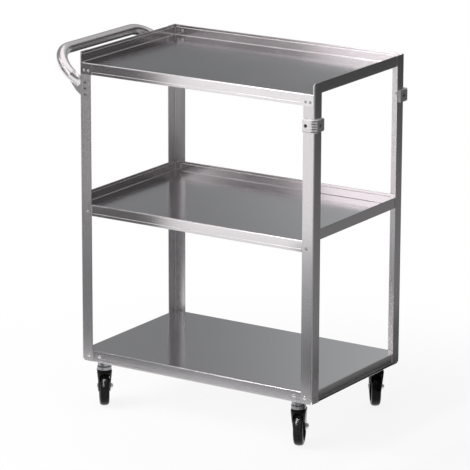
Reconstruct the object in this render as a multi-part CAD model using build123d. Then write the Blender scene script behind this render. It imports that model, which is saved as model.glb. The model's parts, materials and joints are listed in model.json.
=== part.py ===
from build123d import *
import math
import os
from dataclasses import dataclass

# A three-shelf utility cart: folded steel shelves riveted into four angle legs, a bent tube handle
# and four swivel casters. Millimetres, +Z up. The origin is on the floor under the middle of the
# shelves. The handle is at the -X end, and the long side that has no rims faces -Y.

# Shelves
SHELF_LENGTH = 609.6
SHELF_WIDTH = 377.0
SHELF_SHEET = 1.2
SHELF_BEND = 2.6
SHELF_NOTCH = 3.2
RIM_HEIGHT = 24.0
APRON_DEPTH = 26.0
HEM_DEPTH = 6.0
HEM_ROUND = 1.0
HEM_GAP = 1.5
LOWER_BAY = 342.0
UPPER_BAY = 324.0

# Legs
LEG_FLANGE = 28.6
LEG_SHEET = 1.5
LEG_BEND = 3.0
LEG_STRIP = 4.5
LEG_TOP_ROUND = 4.0
LEG_CROWN_ROUND = 6.5
LEG_FOOT_ROUND = 13.0

# Rivets, placed from the free edge of the leg's flange and from the shelf's top face or rim
RIVET_DIAMETER = 4.8
RIVET_HEAD_DIAMETER = 8.0
RIVET_HEAD_HEIGHT = 1.6
RIVET_HEAD_ROUND = 1.4
RIVET_TAIL_DIAMETER = 7.0
RIVET_TAIL_LENGTH = 0.9
FASTENER_CLEARANCE = 0.1
TOP_RIVET_EDGE = 5.3
TOP_RIVET_PITCH = 12.0
LOWER_RIVET_EDGE = 10.1
APRON_RIVET_DROP = 17.0
BOTTOM_RIVET_DROP = 12.3
RIM_RIVET_DROP = 13.0

# Handle
HANDLE_TUBE = 25.4
HANDLE_WALL = 1.5
HANDLE_SEAM = 0.6
HANDLE_REACH = 80.0
HANDLE_PITCH = 38.5
HANDLE_BEND = 66.0
HANDLE_DROP = 52.0
HANDLE_FLAT_WIDTH = 38.0
HANDLE_FLATTENING = 30.0
HANDLE_FLAT_LEAD = 2.0
HANDLE_FLAT_TRIM = 5.0
HANDLE_SLOT_CLEARANCE = 1.0
HANDLE_RIVET_OFFSET = 14.0
HANDLE_RIVET_DROP = 58.0
HANDLE_RIVET_PITCH = 13.5

# Corner bumpers
BUMPER_WALL = 8.5
BUMPER_HEIGHT = 28.6
BUMPER_DROP = 67.5
BUMPER_SETBACK = 1.5
BUMPER_CHAMFER_SIDE = 10.0
BUMPER_CHAMFER_END = 6.0
BUMPER_ROUND = 1.5
BUMPER_GROOVES = 5
BUMPER_GROOVE_WIDTH = 2.0
BUMPER_GROOVE_DEPTH = 1.8
BUMPER_CORNER = 3.0
BUMPER_COUNTERBORE = 8.4
BUMPER_FLOOR = 2.5
BUMPER_SIDE_HOLE = 17.7
BUMPER_END_HOLE = 11.5
SCREW_DIAMETER = 4.0
SCREW_HEAD_DIAMETER = 6.2
SCREW_HEAD_HEIGHT = 2.2
SCREW_HEAD_ROUND = 1.3
SCREW_TAIL_LENGTH = 0.8

# Caster bolsters
BOLSTER_WIDTH = 40.0
BOLSTER_SHEET = 2.0
BOLSTER_BEND = 1.6
BOLSTER_TAB = 20.0
BOLSTER_RELIEF = 1.5

# Casters
CASTER_INSET_X = 45.0
CASTER_INSET_Y = 19.5
CASTER_TRAIL = 28.0
WHEEL_DIAMETER = 88.9
TYRE_WIDTH = 22.0
TYRE_ROUND = 6.5
TYRE_DEPTH = 12.0
TYRE_BOND = 0.05
CORE_RIM_WIDTH = 18.0
CORE_RIM_DEPTH = 4.5
CORE_WEB = 9.0
CORE_HUB_DIAMETER = 22.0
HUB_CLEARANCE = 0.5
CROWN_CLEARANCE = 3.9
FORK_SHEET = 2.2
FORK_GAP = 23.6
FORK_CROWN_WIDTH = 34.5
FORK_BOSS = 24.0
FORK_CORNER = 6.0
FORK_SKIRT = 28.0
FORK_MOUTH_WIDTH = 23.0
FORK_MOUTH_DROP = 6.0
FORK_MOUTH_ROUND = 11.4
LOWER_RACE = 7.5
RACE_GAP = 2.5
UPPER_RACE = 9.0
RACE_DIAMETER = 33.0
RACE_LIP = 3.0
RACE_STEP = 1.2
BALL_DIAMETER = 5.0
BALL_CIRCLE = 21.0
BALL_SPACING = 0.4
BALL_CLEARANCE = 0.1
KINGPIN_DIAMETER = 11.0
KINGPIN_HEAD_DIAMETER = 15.0
KINGPIN_HEAD_HEIGHT = 4.0
KINGPIN_HEAD_ROUND = 2.0
RUNNING_CLEARANCE = 0.08
FREE_CLEARANCE = 0.4
STEM_DIAMETER = 9.5
STEM_NUT_FLATS = 14.3
STEM_NUT_HEIGHT = 8.0
STEM_WASHER_DIAMETER = 18.0
STEM_WASHER_SHEET = 2.0
STEM_END = 3.0
AXLE_DIAMETER = 8.0
AXLE_SLEEVE_DIAMETER = 12.0
AXLE_HEAD_FLATS = 11.0
AXLE_HEAD_HEIGHT = 2.0
AXLE_NUT_HEIGHT = 5.0
AXLE_END = 1.5
EDGE_ROUND = 0.6

# Reach of a cutter past the face it cuts, and how near an edge lies to where it is looked for
CUT_MARGIN = 1.5
EDGE_TOLERANCE = 0.01

# Rest direction of each caster's trail, in degrees from +X
CASTER_HEADINGS = {
    "front_left": 127.0,
    "front_right": 115.0,
    "back_left": 121.0,
    "back_right": 125.0,
}

# Sides of the cart that each corner is on, along X and along Y
CORNERS = {
    "front_left": (-1, -1),
    "front_right": (1, -1),
    "back_left": (-1, 1),
    "back_right": (1, 1),
}

# Sizes that follow from the ones above
HALF_LENGTH = SHELF_LENGTH / 2
HALF_WIDTH = SHELF_WIDTH / 2
OUTER_X = HALF_LENGTH + LEG_SHEET
OUTER_Y = HALF_WIDTH + LEG_SHEET
WHEEL_RADIUS = WHEEL_DIAMETER / 2
CROWN_UNDER = WHEEL_DIAMETER + CROWN_CLEARANCE
CROWN_TOP = CROWN_UNDER + FORK_SHEET
LOWER_RACE_TOP = CROWN_TOP + LOWER_RACE
UPPER_RACE_UNDER = LOWER_RACE_TOP + RACE_GAP
SEAT = UPPER_RACE_UNDER + UPPER_RACE
WEB_TOP = SEAT + BOLSTER_SHEET
BOTTOM_LEVEL = SEAT + APRON_DEPTH
MIDDLE_LEVEL = BOTTOM_LEVEL + LOWER_BAY
TOP_LEVEL = MIDDLE_LEVEL + UPPER_BAY
LEG_TOP = TOP_LEVEL + RIM_HEIGHT
KINGPIN_X = HALF_LENGTH - CASTER_INSET_X
KINGPIN_Y = HALF_WIDTH - CASTER_INSET_Y
HANDLE_FLAT = 2 * HANDLE_WALL + HANDLE_SEAM
HANDLE_ARM_Y = HALF_WIDTH - HANDLE_FLAT / 2
HANDLE_SLOPE = math.radians(HANDLE_PITCH)
CORE_HUB_WIDTH = FORK_GAP - 2 * HUB_CLEARANCE
FORK_FOOT = FORK_GAP / 2 + FORK_SHEET
FORK_KNEE = WHEEL_RADIUS + FORK_BOSS / 2
FORK_SHOULDER = CROWN_UNDER - FORK_CORNER
BALL_COUNT = int(math.pi * BALL_CIRCLE / (BALL_DIAMETER + BALL_SPACING))
FOLD_ROUND = min(HEM_ROUND, SHELF_SHEET - EDGE_TOLERANCE)


def block(x, y, z):
    """Box between two coordinates along each axis."""
    spans = [sorted(span) for span in (x, y, z)]
    middle = [(low + high) / 2 for low, high in spans]
    sides = [high - low for low, high in spans]
    return Pos(*middle) * Box(*sides)


def edges_at(solid, axis, **place):
    """Edges along an axis whose middles have the given coordinates."""
    return [
        edge
        for edge in solid.edges().filter_by(axis)
        if all(abs(getattr(edge.center(), name) - value) < EDGE_TOLERANCE for name, value in place.items())
    ]


def rounded(solid, radius, places):
    """Solid with the edges at the given places rounded; a place is an axis and coordinates."""
    found = [edge for axis, place in places for edge in edges_at(solid, axis, **place)]
    return fillet(found, radius)


def turned(*outline):
    """Solid turned about Z from its outline in (radius, height) points."""
    return revolve(Plane.XZ * make_face(Polyline(*outline, close=True)), Axis.Z)


def rod(diameter, low, high):
    """Round bar about Z between two heights."""
    return Pos(0, 0, low) * extrude(Circle(diameter / 2), high - low)


def hexagon(flats, low, high):
    """Hexagonal bar about Z between two heights, with its end corners turned off."""
    bar = Pos(0, 0, low) * extrude(RegularPolygon(flats / 2, 6, major_radius=False), high - low)
    outer = flats / math.sqrt(3)
    turned_ends = rod(2 * outer, low, high)
    turned_ends = chamfer(turned_ends.edges().filter_by(GeomType.CIRCLE), outer - flats / 2)
    return bar & turned_ends


@dataclass
class Fastener:
    """A pin through sheets: the plane under its head, whose normal points out, and its grip."""

    face: Plane
    grip: float

    def rivet(self):
        """Domed rivet with its spread tail behind the sheets."""
        head = rod(RIVET_HEAD_DIAMETER, 0, RIVET_HEAD_HEIGHT)
        head = fillet(head.edges().group_by(Axis.Z)[-1], RIVET_HEAD_ROUND)
        shank = rod(RIVET_DIAMETER, -self.grip, 0)
        tail = rod(RIVET_TAIL_DIAMETER, -self.grip - RIVET_TAIL_LENGTH, -self.grip)
        return self.face * (head + shank + tail)

    def screw(self):
        """Round-headed screw with its end behind the sheet."""
        head = rod(SCREW_HEAD_DIAMETER, 0, SCREW_HEAD_HEIGHT)
        head = fillet(head.edges().group_by(Axis.Z)[-1], SCREW_HEAD_ROUND)
        shank = rod(SCREW_DIAMETER, -self.grip - SCREW_TAIL_LENGTH, 0)
        return self.face * (head + shank)

    def hole(self, diameter):
        """Clearance hole through the gripped sheets."""
        return self.face * rod(diameter + 2 * FASTENER_CLEARANCE, -self.grip - CUT_MARGIN, CUT_MARGIN)


def drilled(solid, fasteners, diameter):
    """Solid with the holes of its fasteners."""
    for fastener in fasteners:
        solid -= fastener.hole(diameter)
    return solid


def side_face(side_x, side_y, offset, height, proud=0.0):
    """Plane on a leg's front or back flange, some way in from the leg's outer corner."""
    origin = (side_x * (OUTER_X - offset), side_y * (OUTER_Y + proud), height)
    return Plane(origin, x_dir=(1, 0, 0), z_dir=(0, side_y, 0))


def end_face(side_x, side_y, offset, height, proud=0.0):
    """Plane on a leg's end flange, some way in from the leg's outer corner."""
    origin = (side_x * (OUTER_X + proud), side_y * (OUTER_Y - offset), height)
    return Plane(origin, x_dir=(0, 1, 0), z_dir=(side_x, 0, 0))


def shelf_fasteners(level, edges, has_rims):
    """Rivets that join one shelf to the four legs, some way in from the flanges' free edges."""
    grip = LEG_SHEET + SHELF_SHEET
    apron = level - (APRON_RIVET_DROP if has_rims else BOTTOM_RIVET_DROP)
    rim = level + RIM_HEIGHT - RIM_RIVET_DROP
    found = []
    for side_x, side_y in CORNERS.values():
        height = rim if has_rims and side_y > 0 else apron
        for edge in edges:
            found.append(Fastener(side_face(side_x, side_y, LEG_FLANGE - edge, height), grip))
    return found


def bolster_fasteners():
    """Rivets that join the ends of both bolsters to the bottom shelf."""
    offset = OUTER_X - KINGPIN_X
    height = BOTTOM_LEVEL - BOTTOM_RIVET_DROP
    grip = SHELF_SHEET + BOLSTER_SHEET
    return [
        Fastener(side_face(side_x, side_y, offset, height, -LEG_SHEET), grip)
        for side_x, side_y in CORNERS.values()
    ]


def handle_fasteners():
    """Rivets that join the handle's flattened ends to the legs at the handle end."""
    middle = TOP_LEVEL - HANDLE_RIVET_DROP
    grip = LEG_SHEET + HANDLE_FLAT
    found = []
    for side_y in (-1, 1):
        for step in (-1, 0, 1):
            height = middle + step * HANDLE_RIVET_PITCH
            found.append(Fastener(side_face(-1, side_y, HANDLE_RIVET_OFFSET, height), grip))
    return found


def bumper_fasteners():
    """Screws that join the bumpers to the legs at the end away from the handle."""
    height = TOP_LEVEL - BUMPER_DROP
    grip = BUMPER_FLOOR + LEG_SHEET
    found = []
    for side_y in (-1, 1):
        found.append(Fastener(side_face(1, side_y, BUMPER_SIDE_HOLE, height, BUMPER_FLOOR), grip))
        found.append(Fastener(end_face(1, side_y, BUMPER_END_HOLE, height, BUMPER_FLOOR), grip))
    return found


def tray_shelf(level, fasteners):
    """Shelf with hemmed rims on three edges and a hemmed apron along its front."""
    under = level - SHELF_SHEET
    rim_top = level + RIM_HEIGHT
    apron_end = level - APRON_DEPTH
    front = -HALF_WIDTH + SHELF_NOTCH
    end = HALF_LENGTH - SHELF_NOTCH
    inner_x = HALF_LENGTH - SHELF_SHEET
    inner_y = HALF_WIDTH - SHELF_SHEET
    shelf = block((-HALF_LENGTH, HALF_LENGTH), (front, HALF_WIDTH), (under, level))
    shelf += block((-end, end), (-HALF_WIDTH, front), (under, level))
    shelf += block((-HALF_LENGTH, HALF_LENGTH), (inner_y, HALF_WIDTH), (under, rim_top))
    shelf += block((-end, end), (-HALF_WIDTH, -inner_y), (apron_end, level))
    for side in (-1, 1):
        shelf += block((side * inner_x, side * HALF_LENGTH), (front, HALF_WIDTH), (under, rim_top))

    outside = [(Axis.X, {"Y": HALF_WIDTH, "Z": under}), (Axis.X, {"Y": -HALF_WIDTH, "Z": level})]
    inside = [(Axis.X, {"Y": inner_y, "Z": level}), (Axis.X, {"Y": -inner_y, "Z": under})]
    for side in (-1, 1):
        outside.append((Axis.Y, {"X": side * HALF_LENGTH, "Z": under}))
        outside.append((Axis.Z, {"X": side * HALF_LENGTH, "Y": HALF_WIDTH}))
        inside.append((Axis.Y, {"X": side * inner_x, "Z": level}))
        inside.append((Axis.Z, {"X": side * inner_x, "Y": inner_y}))
    shelf = rounded(shelf, SHELF_BEND, outside)
    shelf = rounded(shelf, SHELF_BEND - SHELF_SHEET, inside)

    hem_x = inner_x - SHELF_SHEET
    hem_y = inner_y - SHELF_SHEET
    rim_hem = (rim_top - HEM_DEPTH, rim_top)
    shelf += block((HEM_GAP - hem_x, hem_x - HEM_GAP), (hem_y, inner_y), rim_hem)
    for side in (-1, 1):
        shelf += block((side * hem_x, side * inner_x), (front, hem_y - HEM_GAP), rim_hem)
    shelf += apron_hem(Axis.X, -1, apron_end)
    folds = [(Axis.X, {"Y": hem_y, "Z": rim_top}), (Axis.X, {"Y": HALF_WIDTH, "Z": rim_top})]
    folds.append((Axis.X, {"Y": -HALF_WIDTH - SHELF_SHEET, "Z": apron_end}))
    for side in (-1, 1):
        folds.append((Axis.Y, {"X": side * hem_x, "Z": rim_top}))
    shelf = rounded(shelf, FOLD_ROUND, folds)
    return drilled(shelf, fasteners, RIVET_DIAMETER)


def apron_hem(axis, side, low):
    """Fold outside the lower edge of an apron, between the legs."""
    half = (OUTER_X if axis == Axis.X else OUTER_Y) - LEG_FLANGE - HEM_GAP
    face = HALF_WIDTH if axis == Axis.X else HALF_LENGTH
    along = (-half, half)
    across = (side * face, side * (face + SHELF_SHEET))
    height = (low, low + HEM_DEPTH)
    if axis == Axis.X:
        return block(along, across, height)
    return block(across, along, height)


def bottom_shelf(fasteners):
    """Shelf with hemmed aprons along its four edges."""
    under = BOTTOM_LEVEL - SHELF_SHEET
    end_x = HALF_LENGTH - SHELF_NOTCH
    end_y = HALF_WIDTH - SHELF_NOTCH
    inner_x = HALF_LENGTH - SHELF_SHEET
    inner_y = HALF_WIDTH - SHELF_SHEET
    apron = (SEAT, BOTTOM_LEVEL)
    shelf = block((-HALF_LENGTH, HALF_LENGTH), (-end_y, end_y), (under, BOTTOM_LEVEL))
    shelf += block((-end_x, end_x), (-HALF_WIDTH, HALF_WIDTH), (under, BOTTOM_LEVEL))
    outside, inside, folds = [], [], []
    for side in (-1, 1):
        shelf += block((-end_x, end_x), (side * inner_y, side * HALF_WIDTH), apron)
        shelf += block((side * inner_x, side * HALF_LENGTH), (-end_y, end_y), apron)
        outside.append((Axis.X, {"Y": side * HALF_WIDTH, "Z": BOTTOM_LEVEL}))
        outside.append((Axis.Y, {"X": side * HALF_LENGTH, "Z": BOTTOM_LEVEL}))
        inside.append((Axis.X, {"Y": side * inner_y, "Z": under}))
        inside.append((Axis.Y, {"X": side * inner_x, "Z": under}))
        folds.append((Axis.X, {"Y": side * (HALF_WIDTH + SHELF_SHEET), "Z": SEAT}))
        folds.append((Axis.Y, {"X": side * (HALF_LENGTH + SHELF_SHEET), "Z": SEAT}))
    shelf = rounded(shelf, SHELF_BEND, outside)
    shelf = rounded(shelf, SHELF_BEND - SHELF_SHEET, inside)
    for side in (-1, 1):
        shelf += apron_hem(Axis.X, side, SEAT)
        shelf += apron_hem(Axis.Y, side, SEAT)
    shelf = rounded(shelf, FOLD_ROUND, folds)
    return drilled(shelf, fasteners, RIVET_DIAMETER)


def corner_cut(origin, inward, upward, radius, depth):
    """Cutter that rounds a sheet's corner and reaches a depth to either side of it."""
    plane = Plane(origin, x_dir=inward, z_dir=Vector(*inward).cross(Vector(*upward)))
    waste = Pos(radius / 2, radius / 2) * Rectangle(radius, radius) - Pos(radius, radius) * Circle(radius)
    return plane * extrude(waste, depth, both=True)


def handle_slot(side_y):
    """Opening in a leg's end flange for the handle's flattened end."""
    half = HANDLE_FLAT_WIDTH / 2 / math.cos(HANDLE_SLOPE) + LEG_BEND * math.tan(HANDLE_SLOPE)
    half += HANDLE_SLOT_CLEARANCE
    middle = TOP_LEVEL - HANDLE_DROP
    return block(
        (-OUTER_X - LEG_SHEET, -OUTER_X + LEG_BEND),
        (side_y * (HALF_WIDTH - HANDLE_FLAT - HANDLE_SLOT_CLEARANCE), side_y * HALF_WIDTH),
        (middle - half, middle + half),
    )


def leg(side_x, side_y, rivets, screws):
    """Angle leg; at the front its side flange stops under the bend of the top shelf's open edge."""
    outer_x = side_x * OUTER_X
    outer_y = side_y * OUTER_Y
    inner_x = side_x * HALF_LENGTH
    inner_y = side_y * HALF_WIDTH
    is_front = side_y < 0
    side_top = TOP_LEVEL - SHELF_BEND if is_front else LEG_TOP
    across = (inner_y, outer_y)
    angle = block((inner_x, outer_x), (outer_y, outer_y - side_y * LEG_FLANGE), (SEAT, LEG_TOP))
    angle += block((outer_x, outer_x - side_x * LEG_FLANGE), across, (SEAT, side_top))
    angle += block((outer_x, outer_x - side_x * LEG_STRIP), across, (SEAT, LEG_TOP))
    angle = rounded(angle, LEG_BEND, [(Axis.Z, {"X": outer_x, "Y": outer_y})])
    angle = rounded(angle, LEG_BEND - LEG_SHEET, [(Axis.Z, {"X": inner_x, "Y": inner_y})])
    foot = (outer_x, outer_y, SEAT)
    angle -= corner_cut(foot, (-side_x, 0, 0), (0, 0, 1), LEG_FOOT_ROUND, LEG_BEND)
    angle -= corner_cut(foot, (0, -side_y, 0), (0, 0, 1), LEG_FOOT_ROUND, LEG_BEND)
    if is_front:
        strip = (outer_x - side_x * LEG_STRIP, outer_y, LEG_TOP)
        crown = (outer_x, outer_y, LEG_TOP)
        angle -= corner_cut(strip, (side_x, 0, 0), (0, 0, -1), LEG_TOP_ROUND, LEG_BEND)
        angle -= corner_cut(crown, (0, -side_y, 0), (0, 0, -1), LEG_CROWN_ROUND, LEG_STRIP + LEG_BEND)
    if side_x < 0:
        angle -= handle_slot(side_y)
    angle = drilled(angle, rivets, RIVET_DIAMETER)
    return drilled(angle, screws, SCREW_DIAMETER)


def tube_section(diameter, flat_width, flat):
    """Round section in four arcs that match the two ends and two sides of a flattened one."""
    ends = math.pi * flat
    half_end = 90 * ends / (ends + 2 * (flat_width - flat))
    arcs = []
    for middle in (90, 270):
        arcs.append(CenterArc((0, 0), diameter / 2, middle - half_end, 2 * half_end))
        arcs.append(CenterArc((0, 0), diameter / 2, middle + half_end, 180 - 2 * half_end))
    return make_face(arcs)


def handle_body(diameter, flat_width, flat):
    """Solid bent rod with flattened ends, in the plane of the handle's loop."""
    top = HANDLE_REACH / math.cos(HANDLE_SLOPE)
    start = HANDLE_FLAT_LEAD + HANDLE_FLATTENING
    corners = [(start, -HANDLE_ARM_Y), (top, -HANDLE_ARM_Y), (top, HANDLE_ARM_Y), (start, HANDLE_ARM_Y)]
    path = FilletPolyline(*corners, radius=HANDLE_BEND)
    body = sweep(Plane(path @ 0, z_dir=path % 0) * Circle(diameter / 2), path=path)
    for side in (-1, 1):
        arm = Plane((0, side * HANDLE_ARM_Y, 0), x_dir=(0, 1, 0), z_dir=(1, 0, 0))
        flat_face = SlotOverall(flat_width, flat, rotation=90)
        round_face = arm.offset(start) * tube_section(diameter, flat_width, flat)
        body += loft([arm.offset(HANDLE_FLAT_LEAD) * flat_face, round_face])
        body += arm.offset(HANDLE_FLAT_LEAD) * extrude(flat_face, -2 * LEG_FLANGE)
    return body


def handle_tube(fasteners):
    """Bent tube with its ends flattened, trimmed inside the legs and drilled."""
    slope = (math.cos(HANDLE_SLOPE), math.sin(HANDLE_SLOPE))
    origin = (-OUTER_X, 0, TOP_LEVEL - HANDLE_DROP)
    loop = Plane(origin, x_dir=(-slope[0], 0, slope[1]), z_dir=(-slope[1], 0, -slope[0]))
    bore = HANDLE_TUBE - 2 * HANDLE_WALL
    tube = handle_body(HANDLE_TUBE, HANDLE_FLAT_WIDTH, HANDLE_FLAT)
    tube -= handle_body(bore, HANDLE_FLAT_WIDTH - 2 * HANDLE_WALL, HANDLE_SEAM)
    tube = loop * tube
    trim = -OUTER_X + LEG_FLANGE - HANDLE_FLAT_TRIM
    tube -= block((trim, 0), (-OUTER_Y, OUTER_Y), (BOTTOM_LEVEL, LEG_TOP))
    return drilled(tube, fasteners, RIVET_DIAMETER)


def bumper(side_y, fasteners):
    """Angle bumper round a leg's outer corner, grooved across its chamfered nose."""
    outer_y = side_y * OUTER_Y
    middle = TOP_LEVEL - BUMPER_DROP
    height = (middle - BUMPER_HEIGHT / 2, middle + BUMPER_HEIGHT / 2)
    reach = LEG_FLANGE - BUMPER_SETBACK
    nose_x = OUTER_X + BUMPER_WALL
    nose_y = outer_y + side_y * BUMPER_WALL
    wing_x = OUTER_X - reach
    wing_y = outer_y - side_y * reach
    body = block((wing_x, nose_x), (outer_y, nose_y), height)
    body += block((OUTER_X, nose_x), (wing_y, nose_y), height)
    start = (nose_x - BUMPER_CHAMFER_SIDE, nose_y)
    stop = (nose_x, nose_y - side_y * BUMPER_CHAMFER_END)
    corner = make_face(Polyline(start, (nose_x, nose_y), stop, close=True))
    body -= Pos(0, 0, height[0]) * extrude(corner, BUMPER_HEIGHT, dir=(0, 0, 1))
    ends = [(Axis.Z, {"X": wing_x, "Y": nose_y}), (Axis.Z, {"X": nose_x, "Y": wing_y})]
    body = rounded(body, BUMPER_ROUND, ends)
    corners = [(Axis.Y, {"X": wing_x, "Z": level}) for level in height]
    corners += [(Axis.X, {"Y": wing_y, "Z": level}) for level in height]
    body = rounded(body, BUMPER_CORNER, corners)
    turn = math.degrees(math.atan2(side_y * BUMPER_CHAMFER_SIDE, BUMPER_CHAMFER_END))
    nose = Pos((start[0] + stop[0]) / 2, (start[1] + stop[1]) / 2, middle) * Rot(0, 0, turn)
    across = 2 * (BUMPER_CHAMFER_SIDE + BUMPER_CHAMFER_END)
    groove = Box(2 * BUMPER_GROOVE_DEPTH, across, BUMPER_GROOVE_WIDTH)
    pitch = BUMPER_HEIGHT / BUMPER_GROOVES
    for step in range(BUMPER_GROOVES):
        body -= nose * Pos(0, 0, (step - (BUMPER_GROOVES - 1) / 2) * pitch) * groove
    for fastener in fasteners:
        body -= fastener.hole(SCREW_DIAMETER)
        body -= fastener.face * rod(BUMPER_COUNTERBORE, 0, BUMPER_WALL)
    return body


def bolster(side_x, fasteners):
    """Channel across the underside of the bottom shelf, with an end tab riveted at each side."""
    middle = side_x * KINGPIN_X
    half = BOLSTER_WIDTH / 2
    inner = half - BOLSTER_SHEET
    reach = HALF_WIDTH - SHELF_SHEET
    under = BOTTOM_LEVEL - SHELF_SHEET
    wall_end = reach - SHELF_BEND - BOLSTER_RELIEF
    channel = block((middle - half, middle + half), (-reach, reach), (SEAT, WEB_TOP))
    outside = []
    for side in (-1, 1):
        wall = (middle + side * inner, middle + side * half)
        channel += block(wall, (-wall_end, wall_end), (SEAT, under))
        tab = (side * (reach - BOLSTER_SHEET), side * reach)
        tab_half = inner - BOLSTER_RELIEF
        channel += block((middle - tab_half, middle + tab_half), tab, (SEAT, SEAT + BOLSTER_TAB))
        outside.append((Axis.Y, {"X": middle + side * half, "Z": SEAT}))
    channel = rounded(channel, BOLSTER_BEND, outside)
    for side in (-1, 1):
        stem = Pos(middle, side * KINGPIN_Y, 0)
        channel -= stem * rod(STEM_DIAMETER + 2 * FASTENER_CLEARANCE, SEAT - CUT_MARGIN, WEB_TOP + CUT_MARGIN)
    return drilled(channel, fasteners, RIVET_DIAMETER)


def ball_groove():
    """Ring cut from both races for the balls."""
    middle = (LOWER_RACE_TOP + UPPER_RACE_UNDER) / 2
    return Pos(0, 0, middle) * Torus(BALL_CIRCLE / 2, BALL_DIAMETER / 2 + BALL_CLEARANCE)


def kingpin():
    """Headed swivel pin with the threaded stem that holds the caster to its bolster."""
    head_top = CROWN_UNDER - FREE_CLEARANCE
    stem_top = WEB_TOP + STEM_WASHER_SHEET + STEM_NUT_HEIGHT + STEM_END
    head = rod(KINGPIN_HEAD_DIAMETER, head_top - KINGPIN_HEAD_HEIGHT, head_top)
    head = fillet(head.edges().group_by(Axis.Z)[0], KINGPIN_HEAD_ROUND)
    stem = rod(STEM_DIAMETER, UPPER_RACE_UNDER, stem_top)
    stem = chamfer(stem.edges().group_by(Axis.Z)[-1], EDGE_ROUND)
    return head + rod(KINGPIN_DIAMETER, head_top, UPPER_RACE_UNDER) + stem


def upper_race():
    """Fixed swivel race under the bolster, with a lip round its top."""
    bore = STEM_DIAMETER / 2 + FASTENER_CLEARANCE
    outer = RACE_DIAMETER / 2
    body = turned(
        (bore, UPPER_RACE_UNDER),
        (outer - RACE_STEP, UPPER_RACE_UNDER),
        (outer - RACE_STEP, SEAT - RACE_LIP),
        (outer, SEAT - RACE_LIP),
        (outer, SEAT),
        (bore, SEAT),
    )
    return body - ball_groove()


def lower_race():
    """Turning swivel race on the fork's crown, with its top edge rounded."""
    bore = KINGPIN_DIAMETER + 2 * FREE_CLEARANCE
    body = rod(RACE_DIAMETER, CROWN_TOP, LOWER_RACE_TOP)
    body = fillet(body.edges().group_by(Axis.Z)[-1], RACE_STEP)
    return body - rod(bore, CROWN_TOP, LOWER_RACE_TOP) - ball_groove()


def race_balls():
    """Ring of balls between the races."""
    middle = (LOWER_RACE_TOP + UPPER_RACE_UNDER) / 2
    balls = PolarLocations(BALL_CIRCLE / 2, BALL_COUNT)
    return [Pos(0, 0, middle) * place * Sphere(BALL_DIAMETER / 2) for place in balls]


def fork_hood():
    """Round front of the fork's crown, narrowed like its cheeks, with a mouth for the wheel."""
    low = CROWN_UNDER - FORK_SKIRT
    outer = FORK_CROWN_WIDTH / 2
    inner = outer - FORK_SHEET
    taper = (FORK_SHOULDER - low) * (outer - FORK_FOOT) / (FORK_SHOULDER - FORK_KNEE)
    points = [(0, CROWN_UNDER), (inner, CROWN_UNDER), (inner, FORK_SHOULDER), (inner - taper, low)]
    points += [(outer - taper, low), (outer, FORK_SHOULDER), (outer, CROWN_TOP), (0, CROWN_TOP)]
    section = make_face(Polyline(*points, close=True))
    section = fillet(section.vertices().sort_by_distance((outer, CROWN_TOP))[0], FORK_CORNER)
    inside = section.vertices().sort_by_distance((inner, CROWN_UNDER))[0]
    section = fillet(inside, FORK_CORNER - FORK_SHEET)
    mouth_top = CROWN_UNDER - FORK_MOUTH_DROP
    mouth = Pos(0, (low + mouth_top) / 2) * Rectangle(FORK_MOUTH_WIDTH, mouth_top - low)
    mouth = fillet(mouth.vertices().group_by(Axis.Y)[-1], FORK_MOUTH_ROUND)
    hood = revolve(Plane.XZ * section, Axis.Z) - extrude(Plane.YZ * mouth, outer, both=True)
    return hood & fork_front(low)


def fork_front(low):
    """Space in front of the kingpin from a given height up to the fork's crown."""
    half = FORK_CROWN_WIDTH / 2 + CUT_MARGIN
    return block((-half, 0), (-half, half), (low, CROWN_TOP))


def fork():
    """Folded yoke from the crown on the kingpin back to the axle."""
    crown = FORK_CROWN_WIDTH / 2
    foot = FORK_FOOT
    boss = FORK_BOSS / 2
    low = WHEEL_RADIUS - boss
    outline = [(-foot, low), (-foot, FORK_KNEE), (-crown, FORK_SHOULDER), (-crown, CROWN_TOP)]
    outline += [(-y, z) for y, z in reversed(outline)]
    hollow = [(-foot + FORK_SHEET, low), (-foot + FORK_SHEET, FORK_KNEE)]
    hollow += [(-crown + FORK_SHEET, FORK_SHOULDER), (-crown + FORK_SHEET, CROWN_UNDER)]
    hollow += [(-y, z) for y, z in reversed(hollow)]
    arch = make_face(Polyline(*outline, close=True))
    arch = fillet(arch.vertices().group_by(Axis.Y)[-1], FORK_CORNER)
    space = make_face(Polyline(*hollow, close=True))
    space = fillet(space.vertices().group_by(Axis.Y)[-1], FORK_CORNER - FORK_SHEET)
    front = Plane.YZ * (arch - space)
    yoke = extrude(front, 2 * WHEEL_RADIUS, both=True)

    axle = Pos(CASTER_TRAIL, WHEEL_RADIUS) * Circle(boss)
    head_middle = (CROWN_TOP + FORK_SHOULDER) / 2
    head = Pos(0, head_middle) * Rectangle(FORK_CROWN_WIDTH, CROWN_TOP - FORK_SHOULDER)
    side = make_hull((axle + head).edges())
    yoke &= extrude(Plane.XZ * side, FORK_CROWN_WIDTH, both=True)
    tail = Pos(CASTER_TRAIL + boss, 0) * Rectangle(FORK_BOSS, FORK_CROWN_WIDTH)
    plan = make_hull((Circle(crown) + tail).edges())
    yoke &= extrude(plan, CROWN_TOP)
    yoke = yoke - fork_front(0) + fork_hood()
    bore = KINGPIN_DIAMETER + 2 * RUNNING_CLEARANCE
    yoke -= rod(bore, CROWN_UNDER - CUT_MARGIN, CROWN_TOP + CUT_MARGIN)
    hole = rod(AXLE_DIAMETER + 2 * FASTENER_CLEARANCE, -FORK_CROWN_WIDTH, FORK_CROWN_WIDTH)
    return yoke - axle_place() * hole


def axle_place():
    """Place on the axle whose Z runs along it, towards the bolt's head."""
    return Pos(CASTER_TRAIL, 0, WHEEL_RADIUS) * Rot(-90, 0, 0)


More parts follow.
